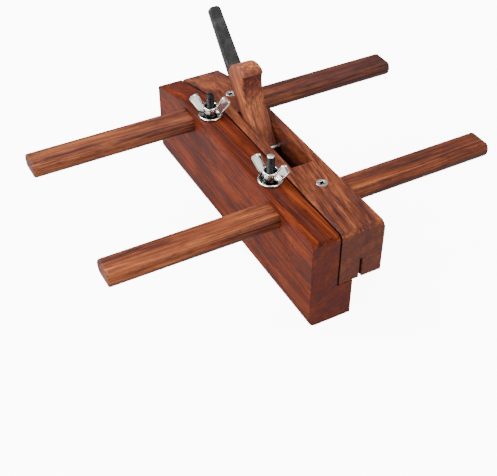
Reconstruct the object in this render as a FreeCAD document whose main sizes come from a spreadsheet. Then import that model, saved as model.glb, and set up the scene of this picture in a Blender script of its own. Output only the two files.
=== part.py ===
import FreeCAD, Part
import math
import os
import Sketcher

# A wooden plough plane: a stock that carries a narrow iron, a wedge and two steel skates, and a
# fence that slides on two fixed arms and is locked on each arm by a stud, a dog and a wing nut.
#
# Frame, in millimetres: +X is the cutting direction, +Z is up, and +Y points away from the fence.
# X = 0 is the middle of the stock's length, Y = 0 is the middle of the rear arm's length, and
# Z = 0 is the underside of the fence, on which the plane stands.

doc = FreeCAD.newDocument("plough_plane")

# ---------------------------------------------------------------- driving dimensions
SIZES = {
    # stock and fence
    "body_length": 240.0,
    "body_width": 33.4,
    "body_centre": 12.35,
    "body_top": 73.3,
    "sole_height": 30.7,
    "rear_drop": 12.1,
    "rear_slope_run": 48.0,
    "front_chamfer": 2.6,
    "edge_ease": 0.4,
    "far_edge_ease": 1.6,
    "fence_thickness": 20.95,
    "fence_gap": 1.2,
    "foot_reach": 12.35,
    "foot_gap": 0.7,
    "fence_round": 6.0,
    "past_end": 1.0,
    # throat, mouth and bed
    "bed_angle": 46.0,
    "bed_top": -39.4,
    "throat_width": 17.4,
    "throat_front": 41.6,
    "throat_floor": 44.0,
    "mouth_front": 17.8,
    "mouth_width": 7.2,
    # arms
    "arm_width": 22.1,
    "arm_height": 11.3,
    "arm_crown": 3.0,
    "arm_level": 62.2,
    "rear_arm_station": -62.4,
    "front_arm_station": 68.4,
    "rear_arm_length": 306.5,
    "front_arm_length": 298.2,
    "front_arm_shift": 0.5,
    "arm_end_ease": 0.9,
    "arm_bore_depth": 10.95,
    "arm_fixed_fit": 0.1,
    "arm_sliding_fit": 0.25,
    # cutting iron
    "iron_length": 157.0,
    "iron_thick": 5.0,
    "iron_top_width": 9.5,
    "iron_top_drop": 2.0,
    "iron_top_round": 1.8,
    "iron_shoulder_width": 15.4,
    "iron_neck_width": 5.0,
    "iron_tip_width": 6.0,
    "iron_tip_length": 9.0,
    "iron_tip_slope": 1.5,
    "iron_shoulder_start": 38.0,
    "iron_shoulder_end": 45.0,
    "iron_projection": 8.6,
    "iron_grind": 25.0,
    "iron_bevel": 0.9,
    "iron_lift": 0.02,
    # wedge and the pin across the throat
    "wedge_width": 16.9,
    "wedge_foot": 47.0,
    "wedge_toe": 56.0,
    "wedge_hollow": 83.0,
    "wedge_brow": 88.0,
    "wedge_heel": 97.0,
    "wedge_crown": 111.4,
    "wedge_taper": 7.0,
    "wedge_play": 0.12,
    "wedge_ease": 1.0,
    "pin_station": -5.1,
    "pin_level": 57.8,
    "pin_diameter": 3.2,
    "pin_fit": 0.04,
    "pin_set": 0.3,
    "pin_grip": 5.0,
    # skates
    "skate_thick": 2.2,
    "kerf_width": 2.3,
    "kerf_depth": 16.5,
    "skate_projection": 8.0,
    "skate_setback": 15.0,
    "skate_nose": 7.0,
    "skate_pin_diameter": 3.0,
    "skate_pin_level": 39.5,
    "skate_pin_grip": 7.0,
    "skate_fit": 0.1,
    "skate_wall_gap": 0.4,
    # clamps
    "clamp_offset": 10.75,
    "rear_stud_station": -44.5,
    "front_stud_station": 47.0,
    "stud_diameter": 6.0,
    "stud_chamfer": 0.8,
    "stud_play": 0.4,
    "rear_stud_stand": 18.2,
    "front_stud_stand": 20.8,
    "dog_width": 10.0,
    "dog_plate": 5.0,
    "dog_toe": 1.2,
    "dog_toe_set": 4.0,
    "dog_bevel": 1.0,
    "dog_overlap": 12.0,
    "dog_room": 0.6,
    "dog_travel": 1.5,
    "dog_clear": 0.1,
    "washer_diameter": 18.2,
    "washer_rim": 1.8,
    "washer_dish": 0.9,
    "washer_play": 0.2,
    "washer_lift": 0.05,
    "washer_ease": 0.4,
    "washer_land": 0.5,
    "washer_slope": 0.8,
    "nut_bore": 6.1,
    "nut_base_diameter": 12.6,
    "nut_waist_diameter": 10.4,
    "nut_collar_diameter": 11.8,
    "nut_mouth_diameter": 8.4,
    "nut_height": 8.0,
    "nut_seat": 0.1,
    "nut_foot": 0.9,
    "nut_cove": 1.0,
    "nut_collar_drop": 2.3,
    "nut_mouth_depth": 1.8,
    "nut_ease": 0.4,
    "wing_span": 33.0,
    "wing_height": 17.2,
    "wing_thick": 3.2,
    "wing_bite": 0.7,
    "wing_start": 1.6,
    "rear_nut_turn": 50.0,
    "front_nut_turn": 24.0,
    # arm screws
    "screw_head": 8.0,
    "screw_shank": 4.0,
    "screw_length": 16.2,
    "screw_point": 3.0,
    "screw_offset": -2.6,
    "rear_screw_shift": -1.1,
    "front_screw_shift": 1.2,
    "screw_rim": 0.1,
    "screw_seat_play": 0.5,
    "recess_arm": 2.3,
    "recess_bar": 0.6,
    "recess_depth": 1.8,
    "recess_taper": -12.0,
}

sheet = doc.addObject("Spreadsheet::Sheet", "Sizes")
for row, (alias, value) in enumerate(SIZES.items(), start=1):
    sheet.set(f"A{row}", alias)
    sheet.set(f"B{row}", str(value))
    sheet.setAlias(f"B{row}", alias)
doc.recompute()

# Lengths that follow from the driving dimensions, written once as expressions.
HALF_LENGTH = "Sizes.body_length / 2"
HALF_WIDTH = "Sizes.body_width / 2"
BODY_LEFT = f"(Sizes.body_centre - {HALF_WIDTH})"
FENCE_INNER = f"({BODY_LEFT} - Sizes.fence_gap)"
FENCE_OUTER = f"({FENCE_INNER} - Sizes.fence_thickness)"
FOOT_TOP = "(Sizes.sole_height - Sizes.foot_gap)"
BED_SLOPE = "tan(Sizes.bed_angle * 1deg)"
IRON_RUN = "(Sizes.iron_thick / sin(Sizes.bed_angle * 1deg))"
KERF_TOP = "(Sizes.sole_height + Sizes.kerf_depth)"
SKATE_FOOT = "(Sizes.sole_height - Sizes.skate_projection)"
CLAMP_LINE = f"({FENCE_INNER} - Sizes.clamp_offset)"
ARM_UNDER = "(Sizes.arm_level - Sizes.arm_height / 2)"
DOG_TOP = f"({ARM_UNDER} - Sizes.dog_clear)"
DOG_BOTTOM = f"({DOG_TOP} - Sizes.dog_toe - Sizes.dog_plate)"


def on_bed(level):
    """Expression of the bed's X at a given height."""
    return f"(Sizes.bed_top + (Sizes.body_top - {level}) / {BED_SLOPE})"


def on_front_wall(level):
    """Expression of the throat's front wall X at a given height."""
    rise = "(Sizes.body_top - Sizes.sole_height)"
    run = "(Sizes.throat_front - Sizes.mouth_front)"
    return f"(Sizes.mouth_front + ({level} - Sizes.sole_height) * {run} / {rise})"


def number(expression):
    """Value of an expression of the sheet's cells."""
    result = sheet.evalExpression(expression.replace("Sizes.", ""))
    return float(getattr(result, "Value", result))


# ---------------------------------------------------------------- modelling helpers
def new_body(label):
    body = doc.addObject("PartDesign::Body", label)
    body.Label = label
    return body


def origin_feature(body, role):
    return next(item for item in body.Origin.OriginFeatures if item.Role == role)


def new_sketch(body, name, plane, offset=None):
    """Sketch on one of the body's origin planes, moved along the plane's normal by offset."""
    sketch = body.newObject("Sketcher::SketchObject", f"{body.Name}_{name}")
    sketch.AttachmentSupport = [(origin_feature(body, plane), "")]
    sketch.MapMode = "FlatFace"
    if offset is not None:
        sketch.setExpression("AttachmentOffset.Base.z", offset)
    doc.recompute()
    return sketch


def pin_point(sketch, geometry, end, across, up):
    """Fix one end of a sketch line at a pair of expressions."""
    for kind, expression in (("DistanceX", across), ("DistanceY", up)):
        constraint = Sketcher.Constraint(kind, -1, 1, geometry, end, number(expression))
        index = sketch.addConstraint(constraint)
        sketch.setExpression(f"Constraints[{index}]", expression)


def outline(sketch, corners):
    """Closed polygon whose corners are pairs of expressions."""
    points = [FreeCAD.Vector(number(across), number(up), 0) for across, up in corners]
    first = sketch.GeometryCount
    for start, end in zip(points, points[1:] + points[:1]):
        sketch.addGeometry(Part.LineSegment(start, end), False)
    count = len(points)
    for step in range(count):
        following = first + (step + 1) % count
        sketch.addConstraint(Sketcher.Constraint("Coincident", first + step, 2, following, 1))
    for step, (across, up) in enumerate(corners):
        pin_point(sketch, first + step, 1, across, up)


def rectangle(sketch, left, right, low, high):
    outline(sketch, [(left, low), (right, low), (right, high), (left, high)])


def circle(sketch, across, up, diameter):
    """Circle with its centre and diameter given as expressions."""
    centre = FreeCAD.Vector(number(across), number(up), 0)
    radius = number(diameter) / 2
    index = sketch.addGeometry(Part.Circle(centre, FreeCAD.Vector(0, 0, 1), radius), False)
    pin_point(sketch, index, 3, across, up)
    size = sketch.addConstraint(Sketcher.Constraint("Diameter", index, 2 * radius))
    sketch.setExpression(f"Constraints[{size}]", diameter)


def bow(sketch, start, middle, end):
    """Arc through three points that are pairs of expressions; returns its index."""
    points = [FreeCAD.Vector(number(across), number(up), 0) for across, up in (start, middle, end)]
    index = sketch.addGeometry(Part.Arc(*points), False)
    return index


def arm_outline(sketch, station, clearance):
    """Section of an arm: flat top and bottom, bowed sides that meet them at a crease."""
    half_width = f"(Sizes.arm_width / 2 + {clearance})"
    half_height = f"(Sizes.arm_height / 2 + {clearance})"
    flat = f"({half_width} - Sizes.arm_crown)"
    low, high = f"(Sizes.arm_level - {half_height})", f"(Sizes.arm_level + {half_height})"
    rear, front = f"({station} - {flat})", f"({station} + {flat})"
    corners = [(front, low), (front, high), (rear, high), (rear, low)]
    points = [FreeCAD.Vector(number(across), number(up), 0) for across, up in corners]
    first = sketch.GeometryCount
    bow(sketch, corners[0], (f"({station} + {half_width})", "Sizes.arm_level"), corners[1])
    sketch.addGeometry(Part.LineSegment(points[1], points[2]), False)
    bow(sketch, corners[2], (f"({station} - {half_width})", "Sizes.arm_level"), corners[3])
    sketch.addGeometry(Part.LineSegment(points[3], points[0]), False)
    # An arc that was drawn clockwise keeps its ends swapped, so the ends are matched by place.
    ends = [(index, end) for index in range(first, first + 4) for end in (1, 2)]
    lines = (first + 1, first + 3)
    for line in lines:
        for end in (1, 2):
            here = sketch.getPoint(line, end)
            mate = next(
                other for other in ends
                if other[0] not in lines and sketch.getPoint(*other).distanceToPoint(here) < 1e-6
            )
            sketch.addConstraint(Sketcher.Constraint("Coincident", line, end, *mate))
    pin_point(sketch, lines[0], 1, *corners[1])
    pin_point(sketch, lines[0], 2, *corners[2])
    pin_point(sketch, lines[1], 1, *corners[3])
    pin_point(sketch, lines[1], 2, *corners[0])
    radius = f"(({half_height} ^ 2 + Sizes.arm_crown ^ 2) / (2 * Sizes.arm_crown))"
    for side in (first, first + 2):
        size = sketch.addConstraint(Sketcher.Constraint("Radius", side, number(radius)))
        sketch.setExpression(f"Constraints[{size}]", radius)


def pad(body, sketch, length, symmetric=True, reverse=False):
    feature = body.newObject("PartDesign::Pad", f"{sketch.Name}_pad")
    feature.Profile = sketch
    feature.Midplane = symmetric
    feature.Reversed = reverse
    feature.setExpression("Length", length)
    doc.recompute()
    return feature


def pocket(body, sketch, length, symmetric=True, reverse=False):
    """Cut a sketch out of the body, and make sure that it did cut."""
    before = body.Tip.Shape.Volume
    feature = body.newObject("PartDesign::Pocket", f"{sketch.Name}_pocket")
    feature.Profile = sketch
    feature.Midplane = symmetric
    feature.Reversed = reverse
    feature.setExpression("Length", length)
    doc.recompute()
    if not feature.Shape.Volume < before - 1e-6:
        raise RuntimeError(f"{feature.Name} cuts nothing")
    return feature


def revolve(body, sketch, kind="PartDesign::Revolution"):
    """Turn a sketch once about its own vertical axis."""
    feature = body.newObject(kind, f"{sketch.Name}_turn")
    feature.Profile = sketch
    feature.ReferenceAxis = (sketch, ["V_Axis"])
    feature.Angle = 360.0
    doc.recompute()
    return feature


def edges_where(feature, test):
    """Names of the feature's edges whose middle point and direction pass a test."""
    names = []
    for index, edge in enumerate(feature.Shape.Edges, start=1):
        middle = edge.valueAt((edge.FirstParameter + edge.LastParameter) / 2)
        along = edge.tangentAt((edge.FirstParameter + edge.LastParameter) / 2)
        if test(edge, middle, along):
            names.append(f"Edge{index}")
    if not names:
        raise RuntimeError(f"no edge of {feature.Name} passes the test")
    return names


def dress(body, kind, size, test):
    """Fillet or chamfer the edges of the body's tip that pass a test."""
    base = body.Tip
    feature = body.newObject(f"PartDesign::{kind}", f"{body.Name}_{kind.lower()}")
    feature.Base = (base, edges_where(base, test))
    feature.setExpression("Radius" if kind == "Fillet" else "Size", size)
    doc.recompute()
    return feature


def near(value, target, slack=0.05):
    return abs(value - target) < slack


def place(item, base=(0, 0, 0), axis=(0, 0, 1), angle=0.0):
    item.Placement = FreeCAD.Placement(
        FreeCAD.Vector(*base), FreeCAD.Rotation(FreeCAD.Vector(*axis), angle)
    )


def place_by(item, x=None, y=None, z=None):
    """Bind an object's position to expressions."""
    for axis, expression in (("x", x), ("y", y), ("z", z)):
        if expression is not None:
            item.setExpression(f"Placement.Base.{axis}", expression)


# ---------------------------------------------------------------- stock
def make_plane_body():
    """The stock: throat, mouth, arm mortises, kerf for the skates and holes for pins and screws.

    Its sketches lie in the XZ plane, whose normal is -Y, at the middle of its width.
    """
    body = new_body("plane_body")
    place_by(body, y="Sizes.body_centre")
    side = new_sketch(body, "side", "XZ_Plane")
    bend = f"(Sizes.rear_slope_run - {HALF_LENGTH})"
    outline(side, [
        (f"-{HALF_LENGTH}", "Sizes.sole_height"),
        (HALF_LENGTH, "Sizes.sole_height"),
        (HALF_LENGTH, "Sizes.body_top - Sizes.front_chamfer"),
        (f"{HALF_LENGTH} - Sizes.front_chamfer", "Sizes.body_top"),
        (bend, "Sizes.body_top"),
        (f"-{HALF_LENGTH}", "Sizes.body_top - Sizes.rear_drop"),
    ])
    pad(body, side, "Sizes.body_width")

    # Ease the long upper edges before anything is cut into them, the far one more.
    half = number(HALF_WIDTH)
    level = number("Sizes.arm_level")
    for face, size in ((-half, "Sizes.edge_ease"), (half, "Sizes.far_edge_ease")):
        dress(body, "Chamfer", size, lambda edge, mid, along: (
            near(mid.y, face) and mid.z > level and abs(along.x) > 0.5
        ))

    throat = new_sketch(body, "throat", "XZ_Plane")
    above = "(Sizes.body_top + Sizes.past_end)"
    outline(throat, [
        (on_bed(above), above),
        (on_bed("Sizes.throat_floor"), "Sizes.throat_floor"),
        (on_front_wall("Sizes.throat_floor"), "Sizes.throat_floor"),
        (on_front_wall(above), above),
    ])
    pocket(body, throat, "Sizes.throat_width")

    mouth = new_sketch(body, "mouth", "XZ_Plane")
    floor = "(Sizes.throat_floor + Sizes.past_end)"
    below = "(Sizes.sole_height - Sizes.past_end)"
    outline(mouth, [
        (on_bed(floor), floor),
        (on_bed(below), below),
        (on_front_wall(below), below),
        (on_front_wall(floor), floor),
    ])
    pocket(body, mouth, "Sizes.mouth_width")

    kerf = new_sketch(body, "kerf", "XZ_Plane")
    rectangle(kerf, f"-{PAST_END}", PAST_END, below, KERF_TOP)
    pocket(body, kerf, "Sizes.kerf_width")

    for station in ("rear_arm_station", "front_arm_station"):
        mortise = new_sketch(body, station.replace("_arm_station", "_mortise"), "XZ_Plane")
        arm_outline(mortise, f"Sizes.{station}", "Sizes.arm_fixed_fit")
        pocket(body, mortise, "Sizes.body_width + 2 * Sizes.past_end")

    # Pins go in from the face that the fence covers.
    pins = new_sketch(body, "pin_hole", "XZ_Plane", HALF_WIDTH)
    circle(pins, "Sizes.pin_station", "Sizes.pin_level", "Sizes.pin_diameter + Sizes.pin_fit")
    pocket(body, pins, THROAT_PIN_LENGTH, symmetric=False)
    nails = new_sketch(body, "skate_pin_holes", "XZ_Plane", HALF_WIDTH)
    for station in SKATE_PIN_STATIONS:
        circle(nails, station, "Sizes.skate_pin_level", SKATE_PIN_HOLE)
    pocket(body, nails, SKATE_PIN_LENGTH, symmetric=False)

    for side in ("rear", "front"):
        across = f"(Sizes.{side}_arm_station + Sizes.screw_offset)"
        shift = f"Sizes.{side}_screw_shift"
        bore = new_sketch(body, f"{side}_screw_hole", "XY_Plane", "Sizes.body_top")
        circle(bore, across, shift, "Sizes.screw_shank + 3 * Sizes.screw_rim")
        pocket(body, bore, f"Sizes.body_top - {ARM_UNDER}", symmetric=False)
        seat = new_sketch(body, f"{side}_screw_seat", "XY_Plane", "Sizes.body_top")
        circle(seat, across, shift, "Sizes.screw_head + Sizes.screw_seat_play")
        cut = pocket(body, seat, SCREW_HEAD_DEPTH, symmetric=False)
        cut.TaperAngle = -SCREW_CONE
        doc.recompute()
    return body


PAST_END = f"({HALF_LENGTH} + Sizes.past_end)"
# The throat pin crosses the throat and ends in the far cheek; each skate pin crosses the kerf.
THROAT_PIN_LENGTH = f"({HALF_WIDTH} + Sizes.throat_width / 2 + Sizes.pin_grip)"
SKATE_PIN_LENGTH = f"({HALF_WIDTH} + Sizes.skate_pin_grip)"
SKATE_PIN_HOLE = "(Sizes.skate_pin_diameter + Sizes.pin_fit)"
SKATE_PIN_STATIONS = ["-102", "-34", "46", "88"]
SCREW_CONE = 45.0
SCREW_HEAD_DEPTH = "((Sizes.screw_head - Sizes.screw_shank) / 2)"


# ---------------------------------------------------------------- fence
def make_fence():
    """The fence: an L-section whose foot runs under the stock's sole, with its two clamps' pockets."""
    body = new_body("fence")
    section = new_sketch(body, "section", "YZ_Plane")
    foot = f"({FENCE_INNER} + Sizes.foot_reach)"
    outline(section, [
        (FENCE_OUTER, "0"),
        (foot, "0"),
        (foot, FOOT_TOP),
        (FENCE_INNER, FOOT_TOP),
        (FENCE_INNER, "Sizes.body_top"),
        (FENCE_OUTER, "Sizes.body_top"),
    ])
    pad(body, section, "Sizes.body_length")

    # The rear slope and the front chamfer carry on from the stock's.
    ends = new_sketch(body, "ends", "XZ_Plane")
    outline(ends, [
        (f"Sizes.rear_slope_run - {HALF_LENGTH}", "Sizes.body_top"),
        (f"-{PAST_END}", "Sizes.body_top"),
        (f"-{PAST_END}",
         "Sizes.body_top - Sizes.rear_drop * (1 + Sizes.past_end / Sizes.rear_slope_run)"),
    ])
    outline(ends, [
        (f"{HALF_LENGTH} - Sizes.front_chamfer", "Sizes.body_top"),
        (PAST_END, "Sizes.body_top"),
        (PAST_END, "Sizes.body_top - Sizes.front_chamfer - Sizes.past_end"),
    ])
    pocket(body, ends, RIGHT_THROUGH)

    outer, inner = number(FENCE_OUTER), number(FENCE_INNER)
    toe = number(foot)
    dress(body, "Fillet", "Sizes.fence_round", lambda edge, mid, along: (
        near(mid.y, outer) and near(mid.z, 0) and abs(along.x) > 0.99
    ))
    dress(body, "Chamfer", "Sizes.edge_ease", lambda edge, mid, along: (
        (near(mid.y, outer) or near(mid.y, inner)) and abs(along.y) < 0.01
        and mid.z > number(FOOT_TOP) + 5 and abs(along.z) < 0.9
    ))
    dress(body, "Chamfer", "Sizes.edge_ease / 2", lambda edge, mid, along: (
        near(mid.y, toe) and abs(along.x) > 0.99
    ))

    for station in ("rear_arm_station", "front_arm_station"):
        mortise = new_sketch(body, station.replace("_arm_station", "_mortise"), "XZ_Plane")
        arm_outline(mortise, f"Sizes.{station}", "Sizes.arm_sliding_fit")
        pocket(body, mortise, RIGHT_THROUGH)

    for side in ("rear", "front"):
        stud, near_end, far_end = clamp_span(side)
        hole = new_sketch(body, f"{side}_stud_hole", "XY_Plane", "Sizes.body_top")
        circle(hole, stud, CLAMP_LINE, "Sizes.stud_diameter + Sizes.stud_play")
        pocket(body, hole, f"Sizes.body_top - {DOG_BOTTOM}", symmetric=False)
        slot = new_sketch(body, f"{side}_dog_pocket", "XZ_Plane", f"-{FENCE_INNER}")
        rectangle(
            slot, f"{near_end} - Sizes.dog_room", f"{far_end} + Sizes.dog_room",
            f"{DOG_BOTTOM} - Sizes.dog_travel", f"{ARM_UNDER} + Sizes.past_end",
        )
        pocket(body, slot, DOG_POCKET_DEPTH, symmetric=False, reverse=True)
    return body


RIGHT_THROUGH = "(Sizes.body_length)"
DOG_POCKET_DEPTH = "(Sizes.clamp_offset + Sizes.dog_width / 2 + Sizes.dog_room)"


def clamp_span(side):
    """Stud station of a clamp, and its dog's lower and higher end along X, as expressions."""
    stud = f"Sizes.{side}_stud_station"
    arm = f"Sizes.{side}_arm_station"
    reach = "(Sizes.arm_width / 2 - Sizes.dog_overlap)"
    heel = "Sizes.dog_width / 2"
    if side == "rear":
        return stud, f"({arm} + {reach})", f"({stud} + {heel})"
    return stud, f"({stud} - {heel})", f"({arm} - {reach})"


# ---------------------------------------------------------------- arms
def make_arm(side, shift):
    body = new_body(f"{side}_arm")
    place_by(body, y=shift)
    section = new_sketch(body, "section", "XZ_Plane")
    arm_outline(section, f"Sizes.{side}_arm_station", "0")
    pad(body, section, f"Sizes.{side}_arm_length")
    end = number(f"Sizes.{side}_arm_length / 2")
    dress(body, "Chamfer", "Sizes.arm_end_ease", lambda edge, mid, along: near(abs(mid.y), end))
    bore = new_sketch(body, "screw_hole", "XY_Plane", f"{ARM_UNDER} + Sizes.arm_height")
    circle(
        bore, f"Sizes.{side}_arm_station + Sizes.screw_offset",
        f"Sizes.body_centre + Sizes.{side}_screw_shift - ({shift})",
        "Sizes.screw_shank + Sizes.screw_rim",
    )
    pocket(body, bore, "Sizes.arm_bore_depth", symmetric=False)
    return body


# ---------------------------------------------------------------- cutting iron
def make_cutting_iron():
    """A tapered bar, a shoulder, a narrow neck and a ground tip.

    It is drawn flat, with its edge at the local origin and its length along local +Y, and its
    back then lies on the bed.
    """
    body = new_body("cutting_iron")
    face = new_sketch(body, "face", "XY_Plane")
    half_tip, half_neck = "(Sizes.iron_tip_width / 2)", "(Sizes.iron_neck_width / 2)"
    half_shoulder, half_top = "(Sizes.iron_shoulder_width / 2)", "(Sizes.iron_top_width / 2)"
    right = [
        (half_tip, "0"),
        (half_tip, "Sizes.iron_tip_length"),
        (half_neck, "Sizes.iron_tip_length + Sizes.iron_tip_slope"),
        (half_neck, "Sizes.iron_shoulder_start"),
        (half_shoulder, "Sizes.iron_shoulder_end"),
        (half_top, "Sizes.iron_length - Sizes.iron_top_drop"),
        (f"{half_top} - Sizes.iron_top_round", "Sizes.iron_length"),
    ]
    left = [(f"-({across})", up) for across, up in reversed(right)]
    outline(face, right + left)
    pad(body, face, "Sizes.iron_thick", symmetric=False)

    grind = new_sketch(body, "grind", "YZ_Plane")
    run = "(Sizes.iron_thick / tan(Sizes.iron_grind * 1deg))"
    past = "-Sizes.past_end"
    outline(grind, [
        (past, past),
        (run, past),
        (run, "0"),
        ("0", "Sizes.iron_thick"),
        (past, "Sizes.iron_thick"),
    ])
    pocket(body, grind, "Sizes.iron_shoulder_width")

    top = number("Sizes.iron_length")
    drop = number("Sizes.iron_top_drop + Sizes.past_end")
    thick = number("Sizes.iron_thick")
    shoulder = number("Sizes.iron_shoulder_end")
    dress(body, "Fillet", "Sizes.iron_top_round", lambda edge, mid, along: (
        abs(along.z) > 0.99 and mid.y > top - drop
    ))
    dress(body, "Chamfer", "Sizes.iron_bevel", lambda edge, mid, along: (
        near(mid.z, thick) and mid.y > shoulder
    ))
    angle = number("Sizes.bed_angle")
    tip = number(f"Sizes.sole_height - Sizes.iron_projection - Sizes.iron_thick * cos({angle} * 1deg)")
    across = FreeCAD.Vector(0, 1, 0)
    cosine, sine = math.cos(math.radians(angle)), math.sin(math.radians(angle))
    along = FreeCAD.Vector(-cosine, 0, sine)
    lift = number("Sizes.iron_lift")
    foot = FreeCAD.Vector(number(on_bed(f"({tip})")) + lift, number("Sizes.body_centre"), tip)
    turn = FreeCAD.Rotation(across, along, across.cross(along), "XYZ")
    body.Placement = FreeCAD.Placement(foot, turn)
    return body


# ---------------------------------------------------------------- wedge and throat pin
def make_wedge():
    """The wedge: its back lies on the iron, its front bears on the throat pin, and its head has a
    shoulder to knock it loose by."""
    body = new_body("wedge")
    place_by(body, y="Sizes.body_centre")
    profile = new_sketch(body, "profile", "XZ_Plane")
    face_angle = "((Sizes.bed_angle + Sizes.wedge_taper) * 1deg)"
    clear = "(Sizes.pin_diameter / 2 + Sizes.wedge_play)"
    face_x = f"(Sizes.pin_station - {clear} * sin({face_angle}))"
    face_z = f"(Sizes.pin_level - {clear} * cos({face_angle}))"

    def back(level):
        return f"({on_bed(level)} + {IRON_RUN} + Sizes.wedge_play)"

    def front(level):
        return f"({face_x} + ({face_z} - {level}) / tan({face_angle}))"

    brow = front("Sizes.wedge_brow")
    head = [(f"{brow} - ({behind})", f"Sizes.wedge_crown - {below}") for behind, below in WEDGE_HEAD]
    outline(profile, [
        (back("Sizes.wedge_foot"), "Sizes.wedge_foot"),
        (front("Sizes.wedge_toe"), "Sizes.wedge_toe"),
        (front("Sizes.wedge_hollow"), "Sizes.wedge_hollow"),
        *head,
        (back("Sizes.wedge_heel"), "Sizes.wedge_heel"),
    ])
    pad(body, profile, "Sizes.wedge_width")

    half = number("Sizes.wedge_width / 2")
    toe = number("Sizes.wedge_toe")
    dress(body, "Chamfer", "Sizes.wedge_ease", lambda edge, mid, along: (
        near(abs(mid.y), half) and mid.z > toe
    ))
    return body


# Corners of the wedge's head, behind its brow and below its crown: the hollow, then the dome.
WEDGE_HEAD = [
    (-1.7, 24.4), (0.0, 19.4), (1.3, 14.4), (1.6, 9.9), (1.0, 5.9), (0.0, 4.4),
    (0.4, 3.0), (2.2, 1.2), (5.5, 0.3), (10.0, 0.0), (16.0, 1.3), (20.5, 4.0), (23.0, 7.2),
]


def cross_cylinder(name, diameter, length, x, z):
    """Cylinder that runs along +Y from the stock's face under the fence."""
    pin = doc.addObject("Part::Cylinder", name)
    pin.Label = name
    pin.setExpression("Radius", f"({diameter}) / 2")
    pin.setExpression("Height", length)
    place(pin, axis=(1, 0, 0), angle=-90)
    place_by(pin, x, f"{BODY_LEFT} + Sizes.pin_set", z)
    return pin


def make_throat_pin():
    return cross_cylinder(
        "throat_pin", "Sizes.pin_diameter", f"{THROAT_PIN_LENGTH} - 2 * Sizes.pin_set",
        "Sizes.pin_station", "Sizes.pin_level",
    )


# ---------------------------------------------------------------- skates
def make_skate(side):
    """A steel plate in the kerf that runs below the sole; its inner end follows the throat."""
    body = new_body(f"{side}_skate")
    place_by(body, y="Sizes.body_centre")
    plate = new_sketch(body, "plate", "XZ_Plane")
    top = f"({KERF_TOP} - Sizes.skate_fit)"
    end = f"({HALF_LENGTH} - Sizes.skate_setback)"
    nose = "Sizes.skate_nose"
    if side == "rear":
        outline(plate, [
            (f"{nose} - {end}", SKATE_FOOT),
            (f"{on_bed(SKATE_FOOT)} - Sizes.skate_fit", SKATE_FOOT),
            (f"{on_bed(top)} - Sizes.skate_fit", top),
            (f"-{end}", top),
            (f"-{end}", f"{SKATE_FOOT} + {nose}"),
        ])
    else:
        heel = "(Sizes.mouth_front + Sizes.skate_wall_gap)"
        outline(plate, [
            (heel, SKATE_FOOT),
            (f"{end} - {nose}", SKATE_FOOT),
            (end, f"{SKATE_FOOT} + {nose}"),
            (end, top),
            (f"{on_front_wall(top)} + Sizes.skate_wall_gap", top),
            (heel, "Sizes.sole_height"),
        ])
    pad(body, plate, "Sizes.skate_thick")
    holes = new_sketch(body, "holes", "XZ_Plane")
    mine = SKATE_PIN_STATIONS[:2] if side == "rear" else SKATE_PIN_STATIONS[2:]
    for station in mine:
        circle(holes, station, "Sizes.skate_pin_level", SKATE_PIN_HOLE)
    pocket(body, holes, "2 * Sizes.skate_thick")
    return body


def make_skate_pins():
    """The four pins that hold the skates, as one group of separate solids."""
    pins = [
        cross_cylinder(
            f"skate_pin_{index}", "Sizes.skate_pin_diameter",
            f"{SKATE_PIN_LENGTH} - 2 * Sizes.pin_set",
            station, "Sizes.skate_pin_level",
        )
        for index, station in enumerate(SKATE_PIN_STATIONS, start=1)
    ]
    group = doc.addObject("Part::Compound", "skate_pins")
    group.Label = "skate_pins"
    group.Links = pins
    return group


# ---------------------------------------------------------------- arm screws
def make_arm_screw(side):
    """Countersunk wood screw with a cross recess, drawn with its head's face at local Z = 0."""
    body = new_body(f"{side}_arm_screw")
    place_by(
        body, f"Sizes.{side}_arm_station + Sizes.screw_offset",
        f"Sizes.body_centre + Sizes.{side}_screw_shift", "Sizes.body_top - Sizes.screw_rim / 2",
    )
    half = new_sketch(body, "half", "XZ_Plane")
    head, shank = "(Sizes.screw_head / 2)", "(Sizes.screw_shank / 2)"
    outline(half, [
        ("0", "0"),
        (head, "0"),
        (head, "-Sizes.screw_rim"),
        (shank, f"-{SCREW_HEAD_DEPTH} - Sizes.screw_rim"),
        (shank, "Sizes.screw_point - Sizes.screw_length"),
        ("0", "-Sizes.screw_length"),
    ])
    revolve(body, half)
    cross = new_sketch(body, "cross", "XY_Plane")
    arm, bar = "Sizes.recess_arm", "Sizes.recess_bar"
    outline(cross, [
        (f"-{arm}", f"-{bar}"), (f"-{bar}", f"-{bar}"), (f"-{bar}", f"-{arm}"), (bar, f"-{arm}"),
        (bar, f"-{bar}"), (arm, f"-{bar}"), (arm, bar), (bar, bar),
        (bar, arm), (f"-{bar}", arm), (f"-{bar}", bar), (f"-{arm}", bar),
    ])
    recess = pocket(body, cross, "Sizes.recess_depth", symmetric=False)
    recess.setExpression("TaperAngle", "Sizes.recess_taper * 1deg")
    doc.recompute()
    return body


# ---------------------------------------------------------------- clamps
def make_clamp_stud(side):
    """Threaded stud with chamfered ends; its lower end is in the dog."""
    body = new_body(f"{side}_clamp_stud")
    place_by(body, f"Sizes.{side}_stud_station", CLAMP_LINE, "0")
    half = new_sketch(body, "half", "XZ_Plane")
    low = f"({DOG_BOTTOM})"
    high = f"(Sizes.body_top + Sizes.{side}_stud_stand)"
    radius = "(Sizes.stud_diameter / 2)"
    outline(half, [
        ("0", low),
        (f"{radius} - Sizes.stud_chamfer", low),
        (radius, f"{low} + Sizes.stud_chamfer"),
        (radius, f"{high} - Sizes.stud_chamfer"),
        (f"{radius} - Sizes.stud_chamfer", high),
        ("0", high),
    ])
    revolve(body, half)
    return body


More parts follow.
